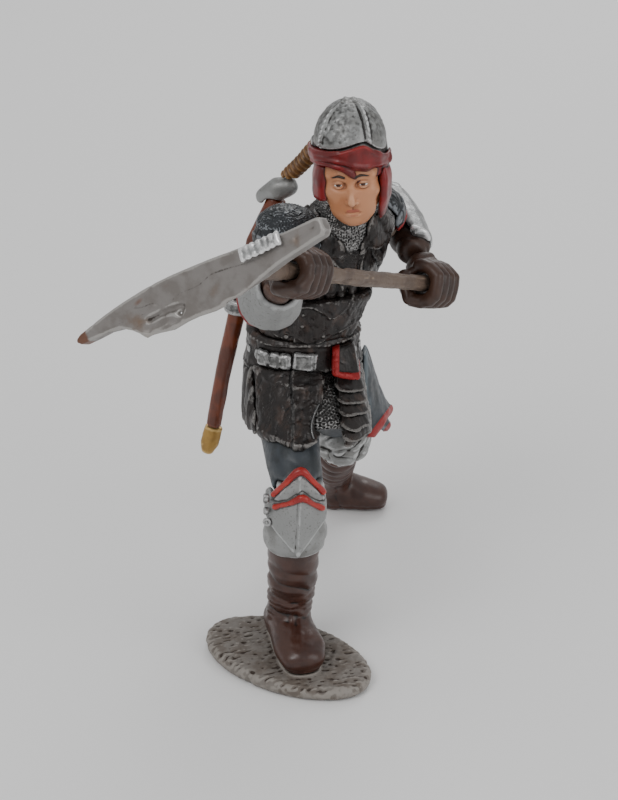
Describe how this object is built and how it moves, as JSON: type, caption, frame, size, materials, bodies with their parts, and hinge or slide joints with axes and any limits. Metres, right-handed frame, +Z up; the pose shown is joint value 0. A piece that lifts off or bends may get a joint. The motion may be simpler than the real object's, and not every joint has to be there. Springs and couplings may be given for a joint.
{
  "type": "painted miniature figure",
  "caption": "Painted plastic miniature of an armoured soldier in a lunge, polearm in both fists and a sword on the back, front foot on an oval stone base.",
  "frame": {"origin": "middle of the stone base's underside, on the surface the figure stands on", "axes": "+Z up; the figure faces and lunges towards -Y; +X is on its left-hand side"},
  "size_m": [0.0482, 0.072, 0.0797],
  "materials": {
    "stone": "chiselled stone, taupe-grey paint with a brown wash",
    "boot_brown": "satin dark-brown paint with soft creases",
    "glove_brown": "satin grey-brown paint, lighter on the ridges",
    "cloth": "blue-grey paint, soft sheen",
    "armour": "near-black brown paint, dry-brushed with silver and tan",
    "mail": "silver dry-brush over black, small rings",
    "steel": "silver-grey paint with a speckled dark wash",
    "red": "glossy red paint",
    "flesh": "tan flesh paint with a brown wash",
    "wood": "tan-grey paint with carved grain",
    "blade": "grey metal paint, rusty brown along the spine and tip",
    "silver": "bright silver paint",
    "scabbard": "satin red-brown paint",
    "gold": "ochre-gold paint"
  },
  "bodies": {
    "figure": {"base": "stone", "front_boot": "boot_brown", "front_gaiter": "steel", "front_thigh": "cloth", "front_greave": "steel", "front_knee_cop": "steel", "front_chevron_upper": "red", "front_chevron_lower": "red", "rear_boot": "boot_brown", "rear_gaiter": "steel", "rear_thigh": "cloth", "mail_skirt": "mail", "torso": "armour", "belt": "armour", "belt_buckle": "silver", "belt_studs": "silver", "belly_plate": "armour", "belt_flap": "red", "tasset_front_right": "armour", "tasset_front_left": "armour", "tasset_side": "armour", "tasset_rear": "armour", "lame_strap": "armour", "coat_tail_inner": "cloth", "coat_tail_outer": "cloth", "right_fist": "glove_brown", "left_fist": "glove_brown", "right_forearm": "glove_brown", "right_cuff": "steel", "right_sleeve": "mail", "left_forearm": "glove_brown", "left_vambrace": "silver", "left_sleeve": "mail", "left_elbow_cop": "silver", "mail_mantle": "mail", "right_pauldron": "armour", "left_pauldron": "armour", "scabbard": "scabbard", "scabbard_ring": "silver", "scabbard_tip": "gold", "sword_guard": "steel", "sword_grip": "gold", "sword_pad": "scabbard"},
    "head": {"head": "flesh", "helmet_shell": "steel", "brow_band": "red", "cheek_guard_right": "red", "cheek_guard_left": "red"},
    "polearm": {"polearm_shaft": "wood", "polearm_blade": "blade", "blade_ribs": "silver"}
  },
  "joints": [
    {"name": "polearm_slide", "type": "slide", "parent": "figure", "child": "polearm", "axis": [-0.5151, -0.7636, 0.3893], "range_m": [0, 0.004]},
    {"name": "head_turn", "type": "hinge", "parent": "figure", "child": "head", "pos_m": [0.008, 0.012, 0.0604], "axis": [0.045, -0.183, 0.9821], "range_deg": [-12, 12]}
  ]
}
